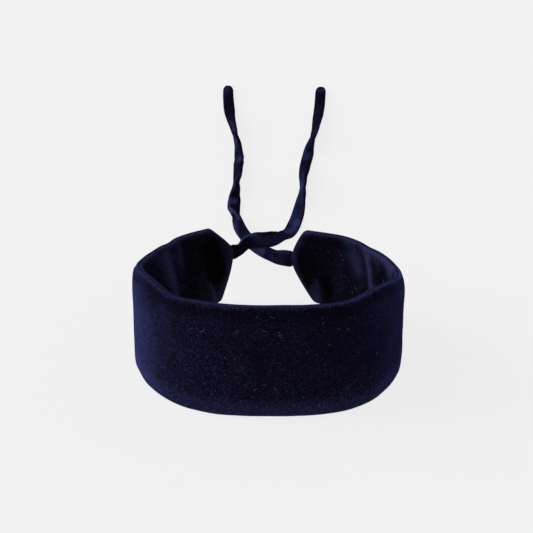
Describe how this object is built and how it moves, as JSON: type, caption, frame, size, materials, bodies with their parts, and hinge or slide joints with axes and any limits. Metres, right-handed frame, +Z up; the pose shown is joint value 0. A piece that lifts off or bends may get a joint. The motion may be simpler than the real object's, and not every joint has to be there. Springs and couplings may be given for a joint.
{
  "type": "choker necklace",
  "caption": "Wide padded velvet choker that stands open on its lower edge, with pointed ends and narrow velvet ties crossing behind it.",
  "frame": {"origin": "on the surface that the choker stands on, under the middle of the band's bounding box", "axes": "+Z up, -Y the front of the neck, +X to the right as seen from the front; the band opens and the ties run away along +Y"},
  "size_m": [0.1154, 0.3586, 0.0505],
  "materials": {
    "velvet_outside": "dense short-pile navy velvet, matt, lighter at grazing angles",
    "velvet_inside": "the same navy velvet on the neck side, pressed darker",
    "velvet_tie": "the same navy velvet, turned into flat narrow tubes"
  },
  "bodies": {
    "root": {"outer_panel": "velvet_outside", "inner_facing": "velvet_inside", "tie_left": "velvet_tie", "tie_right": "velvet_tie"}
  },
  "joints": []
}
